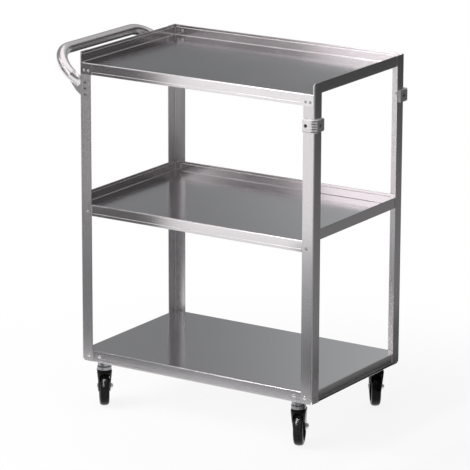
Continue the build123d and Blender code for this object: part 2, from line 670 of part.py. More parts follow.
def axle_bolt():
    """Hexagon-headed bolt through the fork, with its end past the nut."""
    end = -FORK_FOOT - AXLE_NUT_HEIGHT - AXLE_END
    shank = rod(AXLE_DIAMETER, end, FORK_FOOT)
    shank = chamfer(shank.edges().group_by(Axis.Z)[0], EDGE_ROUND)
    head = hexagon(AXLE_HEAD_FLATS, FORK_FOOT, FORK_FOOT + AXLE_HEAD_HEIGHT)
    return axle_place() * (shank + head)


def axle_nut():
    """Nut against the fork at the end of the axle bolt."""
    end = -FORK_FOOT - AXLE_NUT_HEIGHT
    nut = hexagon(AXLE_HEAD_FLATS, end, -FORK_FOOT)
    bore = rod(AXLE_DIAMETER + 2 * FASTENER_CLEARANCE, end, -FORK_FOOT)
    return axle_place() * (nut - bore)


def axle_sleeve():
    """Sleeve clamped between the fork's legs, on which the wheel turns."""
    half = FORK_GAP / 2
    bore = rod(AXLE_DIAMETER + 2 * FASTENER_CLEARANCE, -half, half)
    return axle_place() * (rod(AXLE_SLEEVE_DIAMETER, -half, half) - bore)


def wheel_core():
    """Moulded wheel body: hub, web and rim."""
    bore = AXLE_SLEEVE_DIAMETER / 2 + RUNNING_CLEARANCE
    hub = CORE_HUB_DIAMETER / 2
    rim = WHEEL_RADIUS - TYRE_DEPTH - TYRE_BOND
    rim_in = rim - CORE_RIM_DEPTH
    upper = [(bore, CORE_HUB_WIDTH / 2), (hub, CORE_HUB_WIDTH / 2), (hub, CORE_WEB / 2)]
    upper += [(rim_in, CORE_WEB / 2), (rim_in, CORE_RIM_WIDTH / 2), (rim, CORE_RIM_WIDTH / 2)]
    lower = [(radius, -height) for radius, height in reversed(upper)]
    return axle_place() * turned(*upper, *lower)


def tyre():
    """Solid tyre with rounded shoulders."""
    half = TYRE_WIDTH / 2
    ring = rod(WHEEL_DIAMETER, -half, half)
    ring = fillet(ring.edges().filter_by(GeomType.CIRCLE), TYRE_ROUND)
    return axle_place() * (ring - rod(WHEEL_DIAMETER - 2 * TYRE_DEPTH, -half, half))


def stem_nut():
    """Nut on the caster's stem, above the washer."""
    low = WEB_TOP + STEM_WASHER_SHEET
    nut = hexagon(STEM_NUT_FLATS, low, low + STEM_NUT_HEIGHT)
    return nut - rod(STEM_DIAMETER + 2 * FASTENER_CLEARANCE, low, low + STEM_NUT_HEIGHT)


def stem_washer():
    """Washer on the bolster's web."""
    top = WEB_TOP + STEM_WASHER_SHEET
    washer = rod(STEM_WASHER_DIAMETER, WEB_TOP, top)
    return washer - rod(STEM_DIAMETER + 2 * FASTENER_CLEARANCE, WEB_TOP, top)


def caster_place(corner):
    """Place of a caster's kingpin on the floor, with X along its trail at rest."""
    side_x, side_y = CORNERS[corner]
    return Pos(side_x * KINGPIN_X, side_y * KINGPIN_Y, 0) * Rot(0, 0, CASTER_HEADINGS[corner])


def build():
    """All nodes of the cart, as a solid or a list of solids under each name."""
    top_edges = (TOP_RIVET_EDGE, TOP_RIVET_EDGE + TOP_RIVET_PITCH)
    top_rivets = shelf_fasteners(TOP_LEVEL, top_edges, True)
    middle_rivets = shelf_fasteners(MIDDLE_LEVEL, (LOWER_RIVET_EDGE,), True)
    bottom_rivets = shelf_fasteners(BOTTOM_LEVEL, (LOWER_RIVET_EDGE,), False)
    bolster_rivets = bolster_fasteners()
    handle_rivets = handle_fasteners()
    bumper_screws = bumper_fasteners()
    leg_rivets = top_rivets + middle_rivets + bottom_rivets + handle_rivets

    nodes = {
        "shelf_top": tray_shelf(TOP_LEVEL, top_rivets),
        "shelf_middle": tray_shelf(MIDDLE_LEVEL, middle_rivets),
        "shelf_bottom": bottom_shelf(bottom_rivets + bolster_rivets),
        "handle_tube": handle_tube(handle_rivets),
        "bumper_front": bumper(-1, bumper_screws),
        "bumper_back": bumper(1, bumper_screws),
        "bolster_left": bolster(-1, bolster_rivets),
        "bolster_right": bolster(1, bolster_rivets),
        "top_shelf_rivets": [fastener.rivet() for fastener in top_rivets],
        "middle_shelf_rivets": [fastener.rivet() for fastener in middle_rivets],
        "bottom_shelf_rivets": [fastener.rivet() for fastener in bottom_rivets],
        "bolster_rivets": [fastener.rivet() for fastener in bolster_rivets],
        "handle_rivets": [fastener.rivet() for fastener in handle_rivets],
        "bumper_screws": [fastener.screw() for fastener in bumper_screws],
        "caster_stem_nuts": [caster_place(corner) * stem_nut() for corner in CORNERS],
        "caster_stem_washers": [caster_place(corner) * stem_washer() for corner in CORNERS],
    }
    for corner, (side_x, side_y) in CORNERS.items():
        nodes[f"leg_{corner}"] = leg(side_x, side_y, leg_rivets, bumper_screws)
        place = caster_place(corner)
        nodes[f"kingpin_{corner}"] = place * kingpin()
        nodes[f"upper_race_{corner}"] = place * upper_race()
        nodes[f"lower_race_{corner}"] = place * lower_race()
        nodes[f"race_balls_{corner}"] = [place * ball for ball in race_balls()]
        nodes[f"fork_{corner}"] = place * fork()
        nodes[f"axle_bolt_{corner}"] = place * axle_bolt()
        nodes[f"axle_nut_{corner}"] = place * axle_nut()
        nodes[f"axle_sleeve_{corner}"] = place * axle_sleeve()
        nodes[f"wheel_core_{corner}"] = place * wheel_core()
        nodes[f"tyre_{corner}"] = place * tyre()
    return nodes


os.makedirs("parts", exist_ok=True)
for name, shape in build().items():
    if isinstance(shape, list):
        shape = Compound(children=shape)
    export_step(shape, os.path.join("parts", f"{name}.step"))
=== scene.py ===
"""Looks of a stainless utility cart on swivel casters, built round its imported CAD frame."""

import json
import logging
import math
from dataclasses import dataclass, field
from enum import Enum
from typing import Any, Protocol, Union

import bmesh
import bpy
from mathutils import Matrix, Vector


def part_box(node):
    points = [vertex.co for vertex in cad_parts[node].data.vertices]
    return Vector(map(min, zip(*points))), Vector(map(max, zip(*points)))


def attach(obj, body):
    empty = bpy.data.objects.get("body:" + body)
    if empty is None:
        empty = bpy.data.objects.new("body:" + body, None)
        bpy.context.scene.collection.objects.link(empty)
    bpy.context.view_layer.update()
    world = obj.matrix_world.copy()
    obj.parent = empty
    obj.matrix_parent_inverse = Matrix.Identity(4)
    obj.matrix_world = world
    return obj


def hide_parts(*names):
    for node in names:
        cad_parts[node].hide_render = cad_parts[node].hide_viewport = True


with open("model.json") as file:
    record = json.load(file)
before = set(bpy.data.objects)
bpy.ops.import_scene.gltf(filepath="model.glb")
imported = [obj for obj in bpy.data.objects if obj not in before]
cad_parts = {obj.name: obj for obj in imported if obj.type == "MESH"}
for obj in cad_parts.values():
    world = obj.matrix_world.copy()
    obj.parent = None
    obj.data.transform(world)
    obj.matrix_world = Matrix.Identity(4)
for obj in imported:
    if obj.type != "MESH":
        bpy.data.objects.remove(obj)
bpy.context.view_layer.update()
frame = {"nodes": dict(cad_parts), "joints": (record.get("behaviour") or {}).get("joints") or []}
LOG = logging.getLogger("utility_cart")
MILLIMETRE = 0.001

MERGE_DISTANCE = 1e-6
SHARP_ANGLE = math.radians(35)
NOISE_MIDDLE = 0.5
UP_THE_AXIS = 90.0

Tint = tuple[float, float, float]
Point = tuple[float, float, float]
Reach = tuple[float, float]
Outline = list[tuple[float, float]]
Operand = Union["Signal", float]


class Corner(Enum):
    """The four corners of the cart, named as its casters and legs are."""

    FRONT_LEFT = "front_left"
    FRONT_RIGHT = "front_right"
    BACK_LEFT = "back_left"
    BACK_RIGHT = "back_right"


class Axis(Enum):
    """The frame's axes, which a sheet's grain and the studio's cards follow."""

    LENGTH = (1.0, 0.0, 0.0)
    WIDTH = (0.0, 1.0, 0.0)
    HEIGHT = (0.0, 0.0, 1.0)

    @property
    def vector(self) -> Vector:
        """The axis as a vector."""
        return Vector(self.value)


class Blend(Enum):
    """What a Mix node mixes: the numbers of its two inputs and of its output."""

    VECTOR = (4, 5, 1)
    RGBA = (6, 7, 2)


class Signal:
    """One output in a node tree. Arithmetic on it adds Math nodes."""

    def __init__(self, sheet: "NodeSheet", node: bpy.types.Node, output: str | int) -> None:
        """Hold one output of a node.

        Args:
            sheet: The sheet that the node is on.
            node: The node.
            output: The name or number of its output.
        """
        self.sheet = sheet
        self.node = node
        self.output = output

    @property
    def socket(self) -> bpy.types.NodeSocket:
        """The output's socket."""
        return self.node.outputs[self.output]

    def __add__(self, other: Operand) -> "Signal":
        """Add a value."""
        return self.sheet.maths("ADD", self, other)

    def __radd__(self, other: Operand) -> "Signal":
        """Add to a value."""
        return self.sheet.maths("ADD", other, self)

    def __sub__(self, other: Operand) -> "Signal":
        """Take a value away."""
        return self.sheet.maths("SUBTRACT", self, other)

    def __mul__(self, other: Operand) -> "Signal":
        """Multiply by a value."""
        return self.sheet.maths("MULTIPLY", self, other)


class NodeSheet:
    """A node tree with the few calls that the finishes need."""

    def __init__(self, tree: bpy.types.NodeTree) -> None:
        """Start from an empty tree."""
        self.tree = tree
        self.tree.nodes.clear()

    def node(
        self,
        kind: str,
        settings: dict[str, Any] | None = None,
        sockets: dict[str | int, Any] | None = None,
        output: str | int = 0,
    ) -> Signal:
        """Add one node.

        Args:
            kind: The node's type.
            settings: Its properties, set before its sockets.
            sockets: A value or a Signal for each input that isn't left as it is.
            output: The output that the caller goes on with.

        Returns:
            That output.
        """
        made = self.tree.nodes.new(kind)
        for name, value in (settings or {}).items():
            setattr(made, name, value)
        for name, value in (sockets or {}).items():
            if isinstance(value, Signal):
                self.tree.links.new(value.socket, made.inputs[name])
            else:
                made.inputs[name].default_value = value
        return Signal(self, made, output)

    def maths(self, operation: str, first: Operand, second: Operand) -> Signal:
        """Join two values by one Math node."""
        return self.node("ShaderNodeMath", {"operation": operation}, {0: first, 1: second})

    def vectors(self, operation: str, first: Signal, second: Signal) -> Signal:
        """Join two vectors by one Vector Math node."""
        return self.node("ShaderNodeVectorMath", {"operation": operation}, {0: first, 1: second})

    def unit(self, vector: Signal) -> Signal:
        """Bring a vector to a length of one."""
        return self.node("ShaderNodeVectorMath", {"operation": "NORMALIZE"}, {0: vector})

    def scaled(self, vector: Signal, by: Operand) -> Signal:
        """Scale a vector."""
        return self.node("ShaderNodeVectorMath", {"operation": "SCALE"}, {0: vector, "Scale": by})

    def along(self, vector: Signal, axis: Vector) -> Signal:
        """Measure a vector along an axis."""
        return self.node("ShaderNodeVectorMath", {"operation": "DOT_PRODUCT"}, {0: vector, 1: axis}, "Value")

    def blend(self, kind: Blend, share: Operand, low: Any, high: Any) -> Signal:
        """Mix two vectors or two colours.

        Args:
            kind: Which of the two they are.
            share: The share of the second.
            low: The first vector or colour.
            high: The second.

        Returns:
            The mixture.
        """
        first, second, output = kind.value
        sockets = {0: share, first: low, second: high}
        return self.node("ShaderNodeMix", {"data_type": kind.name}, sockets, output)

    def shade(self, share: Operand, low: Tint | Signal, high: Tint | Signal) -> Signal:
        """Mix two colours by a share."""
        ends = [end if isinstance(end, Signal) else (*end, 1.0) for end in (low, high)]
        return self.blend(Blend.RGBA, share, *ends)

    def step(self, value: Operand, low: float, high: float, start: float = 0.0, end: float = 1.0) -> Signal:
        """Smooth step of a value.

        Args:
            value: What is measured.
            low: The value at which the step begins.
            high: The value at which it ends.
            start: The result below the step.
            end: The result above it.

        Returns:
            The step's height.
        """
        limits = {"Value": value, "From Min": low, "From Max": high, "To Min": start, "To Max": end}
        return self.node("ShaderNodeMapRange", {"interpolation_type": "SMOOTHSTEP"}, limits)

    def place(self) -> Signal:
        """Object coordinates, which are the frame's own in metres."""
        return self.node("ShaderNodeTexCoord", output="Object")

    def normal(self) -> Signal:
        """The surface's own normal."""
        return self.node("ShaderNodeNewGeometry", output="Normal")

    def noise(self, place: Signal, scale: float, detail: float = 2.0, roughness: float = 0.5) -> Signal:
        """Cloudy noise between 0 and 1.

        Args:
            place: The coordinates it is read at.
            scale: Features to the metre.
            detail: Finer layers that are added.
            roughness: The weight of those layers.

        Returns:
            The noise value.
        """
        sockets = {"Vector": place, "Scale": scale, "Detail": detail, "Roughness": roughness}
        return self.node("ShaderNodeTexNoise", {}, sockets)

    def bump(self, height: Signal, strength: float, depth: float) -> Signal:
        """Raise a height on the surface.

        Args:
            height: The height between 0 and 1.
            strength: How much of it shows.
            depth: The height that 1 stands for, in metres.

        Returns:
            The new normal.
        """
        return self.node("ShaderNodeBump", {}, {"Height": height, "Strength": strength, "Distance": depth})


class Finish(Protocol):
    """What every finish offers."""

    @property
    def name(self) -> str:
        """The finish's name."""

    def make(self) -> bpy.types.Material:
        """Make the finish's material."""


def surface(name: str) -> tuple[bpy.types.Material, NodeSheet]:
    """Start a material.

    Args:
        name: The finish's name.

    Returns:
        The material and its empty node sheet.
    """
    material = bpy.data.materials.new(name)
    material.use_nodes = True
    return material, NodeSheet(material.node_tree)


def close(sheet: NodeSheet, sockets: dict[str | int, Any]) -> None:
    """End a material with one Principled shader.

    Args:
        sheet: The material's node sheet.
        sockets: The shader's inputs.
    """
    shader = sheet.node("ShaderNodeBsdfPrincipled", {}, sockets)
    sheet.node("ShaderNodeOutputMaterial", {}, {"Surface": shader})


@dataclass(frozen=True)
class BrushedSteel:
    """Stainless sheet brushed one way, so that its reflections spread across the grain."""

    name: str
    grain: Axis
    pale: Tint = (0.80, 0.77, 0.786)
    dull: Tint = (0.72, 0.70, 0.71)
    roughness: float = 0.14
    spread: float = 0.16
    end_on_reach: Reach = (0.3, 0.7)
    cut_grey: float = 0.0
    cut_edge: Tint = (0.30, 0.29, 0.295)
    cut_reach: Reach = (0.05, 0.25)
    cut_dulling: float = 0.35
    line_pitch: float = 0.1 * MILLIMETRE
    line_length: float = 3 * MILLIMETRE
    line_detail: float = 1.5
    streak_size: float = 9.0
    streak_share: float = 0.6
    streak_dulling: float = 0.05
    cloud_scale: float = 7.0
    cloud_detail: float = 3.0
    cloud_dulling: float = 0.08

    def make(self) -> bpy.types.Material:
        """Make the material: fine lines, broad streaks, handling marks and dull cut edges.

        Returns:
            The material.
        """
        material, sheet = surface(self.name)
        place = sheet.place()
        normal = sheet.normal()
        along = self.grain.vector
        second = (Axis.WIDTH if self.grain is Axis.LENGTH else Axis.LENGTH).vector
        facing = sheet.along(normal, along)
        end_on = sheet.step(facing * facing, *self.end_on_reach)
        cut = sheet.step(facing * facing, *self.cut_reach) * self.cut_grey
        lines = self._brushed(sheet, place, along, second, end_on, 1.0)
        streaks = self._brushed(sheet, place, along, second, end_on, self.streak_size)
        clouds = sheet.noise(place, self.cloud_scale, self.cloud_detail)
        sideways = sheet.vectors("CROSS_PRODUCT", normal, sheet.blend(Blend.VECTOR, end_on, along, second))
        tilt = sheet.scaled(sideways, (lines - NOISE_MIDDLE) * self.spread)
        marks = streaks * self.streak_share + clouds * (1 - self.streak_share)
        uneven = (clouds - NOISE_MIDDLE) * self.cloud_dulling + (streaks - NOISE_MIDDLE) * self.streak_dulling
        close(
            sheet,
            {
                "Base Color": sheet.shade(cut, sheet.shade(marks, self.dull, self.pale), self.cut_edge),
                "Metallic": 1.0,
                "Roughness": self.roughness + uneven + cut * self.cut_dulling,
                "Normal": sheet.unit(sheet.vectors("ADD", normal, tilt)),
            },
        )
        return material

    def _brushed(
        self, sheet: NodeSheet, place: Signal, along: Vector, second: Vector, end_on: Signal, coarse: float
    ) -> Signal:
        """Noise drawn out along the grain.

        Args:
            sheet: The material's node sheet.
            place: Object coordinates.
            along: The grain's axis.
            second: The axis that stands in for it on faces that the grain meets end on.
            end_on: Where those faces are.
            coarse: How many times larger than the finest lines.

        Returns:
            The noise value.
        """
        fine = 1.0 / (self.line_pitch * coarse)
        drawn = 1.0 / (self.line_length * coarse)
        first_scale = Vector((fine, fine, fine)) + along * (drawn - fine)
        second_scale = Vector((fine, fine, fine)) + second * (drawn - fine)
        scale = sheet.blend(Blend.VECTOR, end_on, first_scale, second_scale)
        return sheet.noise(sheet.vectors("MULTIPLY", place, scale), 1.0, self.line_detail)


@dataclass(frozen=True)
class PolishedSteel:
    """Steel of one colour with a soft shine, mottled by its plating or polish."""

    name: str
    pale: Tint
    dull: Tint
    roughness: float
    mottle: float = 260.0
    scratch: float = 0.12
    unevenness: float = 1.0
    patch_detail: float = 3.0
    patch_weight: float = 0.6
    patch_share: float = 0.5
    patch_dulling: float = 0.1
    smear_scale: float = 0.12
    smear_dulling: float = 0.08
    scratch_scale: float = 9.0
    scratch_detail: float = 1.0
    scratch_depth: float = 0.05 * MILLIMETRE

    def make(self) -> bpy.types.Material:
        """Make the material: mottled colour, uneven shine and fine scratches.

        Returns:
            The material.
        """
        material, sheet = surface(self.name)
        place = sheet.place()
        patches = sheet.noise(place, self.mottle, self.patch_detail, self.patch_weight)
        smears = sheet.noise(place, self.mottle * self.smear_scale)
        scratches = sheet.noise(place, self.mottle * self.scratch_scale, self.scratch_detail)
        marks = patches * self.patch_share + smears * (1 - self.patch_share)
        uneven = (patches - NOISE_MIDDLE) * self.patch_dulling + (smears - NOISE_MIDDLE) * self.smear_dulling
        close(
            sheet,
            {
                "Base Color": sheet.shade(marks, self.dull, self.pale),
                "Metallic": 1.0,
                "Roughness": self.roughness + uneven * self.unevenness,
                "Normal": sheet.bump(scratches, self.scratch, self.scratch_depth),
            },
        )
        return material


@dataclass(frozen=True)
class GlossPaint:
    """Black enamel on pressed steel, with orange peel and dust on what faces up."""

    name: str = "Black enamel"
    colour: Tint = (0.005, 0.005, 0.0055)
    dust: Tint = (0.03, 0.0295, 0.0285)
    roughness: float = 0.16
    specular: float = 0.12
    peel_scale: float = 700.0
    peel_detail: float = 1.0
    peel_strength: float = 0.12
    peel_depth: float = 0.1 * MILLIMETRE
    film_scale: float = 90.0
    film_detail: float = 4.0
    film_weight: float = 0.6
    film_reach: Reach = (0.35, 0.8)
    film_dulling: float = 0.1
    upward_reach: Reach = (0.2, 1.0)
    dust_share: float = 0.5
    dust_dulling: float = 0.4

    def make(self) -> bpy.types.Material:
        """Make the material: enamel, orange peel and a film of dust.

        Returns:
            The material.
        """
        material, sheet = surface(self.name)
        place = sheet.place()
        upward = sheet.along(sheet.normal(), Axis.HEIGHT.vector)
        peel = sheet.noise(place, self.peel_scale, self.peel_detail)
        film = sheet.noise(place, self.film_scale, self.film_detail, self.film_weight)
        faces_up = sheet.step(upward, *self.upward_reach)
        settled = faces_up * sheet.step(film, *self.film_reach) * self.dust_share
        uneven = settled * self.dust_dulling + (film - NOISE_MIDDLE) * self.film_dulling
        close(
            sheet,
            {
                "Base Color": sheet.shade(settled, self.colour, self.dust),
                "Roughness": self.roughness + uneven,
                "Specular IOR Level": self.specular,
                "Normal": sheet.bump(peel, self.peel_strength, self.peel_depth),
            },
        )
        return material


@dataclass(frozen=True)
class MouldedBlack:
    """Black moulded wheel stock, from glossy tread to dull core."""

    name: str
    colour: Tint
    scuff: Tint
    roughness: float
    specular: float
    skin_scale: float = 1500.0
    skin_strength: float = 0.15
    skin_depth: float = 0.06 * MILLIMETRE
    skin_dulling: float = 0.08
    wear_scale: float = 120.0
    wear_detail: float = 5.0
    wear_weight: float = 0.65
    wear_reach: Reach = (0.5, 0.75)
    wear_share: float = 0.3
    wear_dulling: float = 0.25

    def make(self) -> bpy.types.Material:
        """Make the material: a moulded skin with scuffs.

        Returns:
            The material.
        """
        material, sheet = surface(self.name)
        place = sheet.place()
        skin = sheet.noise(place, self.skin_scale)
        wear = sheet.noise(place, self.wear_scale, self.wear_detail, self.wear_weight)
        rubbed = sheet.step(wear, *self.wear_reach) * self.wear_share
        uneven = rubbed * self.wear_dulling + (skin - NOISE_MIDDLE) * self.skin_dulling
        close(
            sheet,
            {
                "Base Color": sheet.shade(rubbed, self.colour, self.scuff),
                "Roughness": self.roughness + uneven,
                "Specular IOR Level": self.specular,
                "Normal": sheet.bump(skin, self.skin_strength, self.skin_depth),
            },
        )
        return material


@dataclass(frozen=True)
class BumperPlastic:
    """Pale grey moulded plastic with a fine texture, grubby patches and painted shade in its grooves and
    hollows.
    """

    name: str = "Pale bumper plastic"
    clean: Tint = (0.95, 0.93, 0.94)
    grubby: Tint = (0.74, 0.725, 0.72)
    roughness: float = 0.42
    spark_scale: float = 1800.0
    spark_strength: float = 0.2
    spark_depth: float = 0.08 * MILLIMETRE
    grime_scale: float = 60.0
    grime_detail: float = 4.0
    grime_weight: float = 0.6
    grime_reach: Reach = (0.45, 0.8)
    grime_share: float = 0.5
    grime_dulling: float = 0.15
    # Near-black painted shade, laid by ambient occlusion in the grooves, screw holes and corners.
    painted_shade: Tint = (0.07, 0.069, 0.067)
    painted_shade_width: float = 4 * MILLIMETRE
    painted_shade_reach: Reach = (0.35, 0.85)
    painted_shade_share: float = 0.9
    painted_shade_samples: int = 16

    def make(self) -> bpy.types.Material:
        """Make the material: spark texture, grime and painted shade where ambient occlusion finds little room
        for light.

        Returns:
            The material.
        """
        material, sheet = surface(self.name)
        place = sheet.place()
        spark = sheet.noise(place, self.spark_scale)
        grime = sheet.noise(place, self.grime_scale, self.grime_detail, self.grime_weight)
        dirt = sheet.step(grime, *self.grime_reach) * self.grime_share
        # Ambient occlusion darkens the grooves and recesses: this is painted shade, not dirt.
        occlusion = {"samples": self.painted_shade_samples}
        open_to_light = sheet.node(
            "ShaderNodeAmbientOcclusion", occlusion, {"Distance": self.painted_shade_width}, "AO"
        )
        painted_shade_amount = sheet.step(open_to_light, *self.painted_shade_reach, self.painted_shade_share, 0.0)
        close(
            sheet,
            {
                "Base Color": sheet.shade(painted_shade_amount, sheet.shade(dirt, self.clean, self.grubby), self.painted_shade),
                "Roughness": self.roughness + (grime - NOISE_MIDDLE) * self.grime_dulling,
                "Normal": sheet.bump(spark, self.spark_strength, self.spark_depth),
            },
        )
        return material


SHELF_STEEL = BrushedSteel("Shelf steel", Axis.LENGTH)
LEG_STEEL = BrushedSteel(
    "Leg steel",
    Axis.HEIGHT,
    (0.71, 0.684, 0.698),
    (0.63, 0.609, 0.62),
    roughness=0.28,
    spread=0.4,
    cut_grey=0.9,
    line_length=8 * MILLIMETRE,
)
BOLSTER_STEEL = BrushedSteel("Bolster steel", Axis.WIDTH)
TUBE_STEEL = PolishedSteel(
    "Handle steel",
    (0.80, 0.775, 0.788),
    (0.74, 0.717, 0.728),
    0.24,
    mottle=60.0,
    scratch=0.02,
    unevenness=0.4,
)
RIVET_STEEL = PolishedSteel("Rivet steel", (0.92, 0.90, 0.91), (0.80, 0.785, 0.79), 0.2)
# Darker than the base rivets, which are the same steel: painted shade that dims the glint on the tray rivets.
DIMMED_TRAY_RIVET_STEEL = PolishedSteel("Tray rivet steel darkened as painted shade", (0.54, 0.525, 0.53), (0.46, 0.447, 0.45), 0.7)
BLIND_STEEL = PolishedSteel("Blind rivet steel", (0.30, 0.29, 0.295), (0.20, 0.195, 0.195), 0.3)
SCREW_STEEL = PolishedSteel("Dark screw steel", (0.10, 0.10, 0.10), (0.05, 0.05, 0.05), 0.34)
# Paler than the shelf steel that the hems are rolled from: a painted highlight, so that the hem beads show as
# bright lines.
PALE_HEM_HIGHLIGHT_STEEL = PolishedSteel("Hem steel paled as painted highlight", (0.84, 0.81, 0.826), (0.76, 0.74, 0.75), 0.3, scratch=0.03)
# Near-black so that the blind rivets' holes read dark: painted shade in the recess, not the mandrel's own
# colour.
SHADED_MANDREL_STEEL = PolishedSteel("Mandrel steel blackened as painted shade", (0.09, 0.085, 0.085), (0.04, 0.04, 0.04), 0.4)
ZINC = PolishedSteel("Zinc plate", (0.46, 0.465, 0.48), (0.18, 0.183, 0.19), 0.14)
AXLE_ZINC = PolishedSteel("Bright zinc plate", (0.86, 0.865, 0.88), (0.70, 0.705, 0.72), 0.3)
BALL_STEEL = PolishedSteel("Bearing steel", (0.72, 0.72, 0.73), (0.64, 0.64, 0.65), 0.1)
FORK_PAINT = GlossPaint()
TYRE_BLACK = MouldedBlack("Black tyre", (0.003, 0.003, 0.0033), (0.012, 0.012, 0.012), 0.2, 0.12)
CORE_BLACK = MouldedBlack("Black wheel core", (0.006, 0.006, 0.0065), (0.02, 0.02, 0.02), 0.36, 0.15)
BUMPER_PLASTIC = BumperPlastic()


class Wardrobe:
    """Makes each finish once and puts it on pieces."""

    def __init__(self) -> None:
        """Start with nothing made."""
        self.made: dict[Finish, bpy.types.Material] = {}

    def material(self, finish: Finish) -> bpy.types.Material:
        """Find a finish's material, and make it when it is first asked for.

        Args:
            finish: The finish.

        Returns:
            The material.
        """
        if finish not in self.made:
            self.made[finish] = finish.make()
        return self.made[finish]

    def dress(self, finish: Finish, *nodes: str) -> None:
        """Put a finish on CAD nodes.

        Args:
            finish: The finish.
            nodes: The nodes' names.
        """
        for name in nodes:
            for slot in frame["nodes"][name].material_slots:
                slot.material = self.material(finish)
            LOG.info("%s wears %s", name, finish.name)


WARDROBE = Wardrobe()


def arc(centre: tuple[float, float], radius: float, start: float, end: float, steps: int) -> Outline:
    """Corners of an arc.

    Args:
        centre: Radius and height of its centre.
        radius: Its own radius.
        start: The angle it starts at, in degrees from the outward direction.
        end: The angle it ends at.
        steps: How many chords it has.

    Returns:
        Radius and height of each corner.
    """
    angles = [math.radians(start + (end - start) * step / steps) for step in range(steps + 1)]
    return [(centre[0] + radius * math.cos(angle), centre[1] + radius * math.sin(angle)) for angle in angles]


def lathe(
    shape: bmesh.types.BMesh, outline: Outline, place: Matrix, steps: int, closed: bool = False
) -> None:
    """Turn an outline about an axis and add it to a shape.

    Args:
        shape: The mesh that it joins.
        outline: Radius and height of each corner.
        place: Where the turned body goes. Its own axis is Z.
        steps: Facets round the axis.
        closed: Whether the last corner joins the first.
    """
    before = set(shape.verts)
    corners = [shape.verts.new((radius, 0.0, height)) for radius, height in outline]
    following = corners[1:] + corners[:1] if closed else corners[1:]
    lines = [shape.edges.new(pair) for pair in zip(corners, following)]
    bmesh.ops.spin(
        shape,
        geom=corners + lines,
        cent=(0.0, 0.0, 0.0),
        axis=(0.0, 0.0, 1.0),
        angle=math.tau,
        steps=steps,
        use_merge=True,
    )
    spun = [vert for vert in shape.verts if vert not in before]
    bmesh.ops.remove_doubles(shape, verts=spun, dist=MERGE_DISTANCE)
    turned = [vert for vert in shape.verts if vert not in before]
    bmesh.ops.transform(shape, matrix=place, verts=turned)
    bmesh.ops.recalc_face_normals(shape, faces=list({face for vert in turned for face in vert.link_faces}))


def upright_on(place: Vector, axis: Vector) -> Matrix:
    """The matrix that puts the Z axis along another axis at a place."""
    return Matrix.Translation(place) @ axis.to_track_quat("Z", "Y").to_matrix().to_4x4()


def loose_boxes(node: str) -> list[tuple[Vector, Vector]]:
    """Find the separate bodies of a CAD node.

    Args:
        node: The node's name.

    Returns:
        The lowest and highest corner of each body.
    """
    shape = bmesh.new()
    shape.from_mesh(frame["nodes"][node].data)
    bmesh.ops.remove_doubles(shape, verts=shape.verts, dist=MERGE_DISTANCE)
    waiting = set(shape.verts)
    boxes = []
    while waiting:
        front = [waiting.pop()]
        places = []
        while front:
            vert = front.pop()
            places.append(vert.co.copy())
            near = {edge.other_vert(vert) for edge in vert.link_edges} & waiting
            waiting -= near
            front.extend(near)
        low = Vector(tuple(min(place[axis] for place in places) for axis in range(3)))
        high = Vector(tuple(max(place[axis] for place in places) for axis in range(3)))
        boxes.append((low, high))
    shape.free()
    return boxes


def piece(name: str, shape: bmesh.types.BMesh, finish: Finish) -> bpy.types.Object:
    """Turn a shape into an object at the origin.

    Args:
        name: The piece's name.
        shape: Its mesh, which is freed.
        finish: Its finish.

    Returns:
        The object.
    """
    for face in shape.faces:
        face.smooth = True
    for edge in shape.edges:
        edge.smooth = edge.calc_face_angle(0.0) < SHARP_ANGLE
    mesh = bpy.data.meshes.new(name)
    shape.to_mesh(mesh)
    shape.free()
    mesh.materials.append(WARDROBE.material(finish))
    made = bpy.data.objects.new(name, mesh)
    bpy.context.scene.collection.objects.link(made)
    LOG.info("%s made in %s", name, finish.name)
    return made


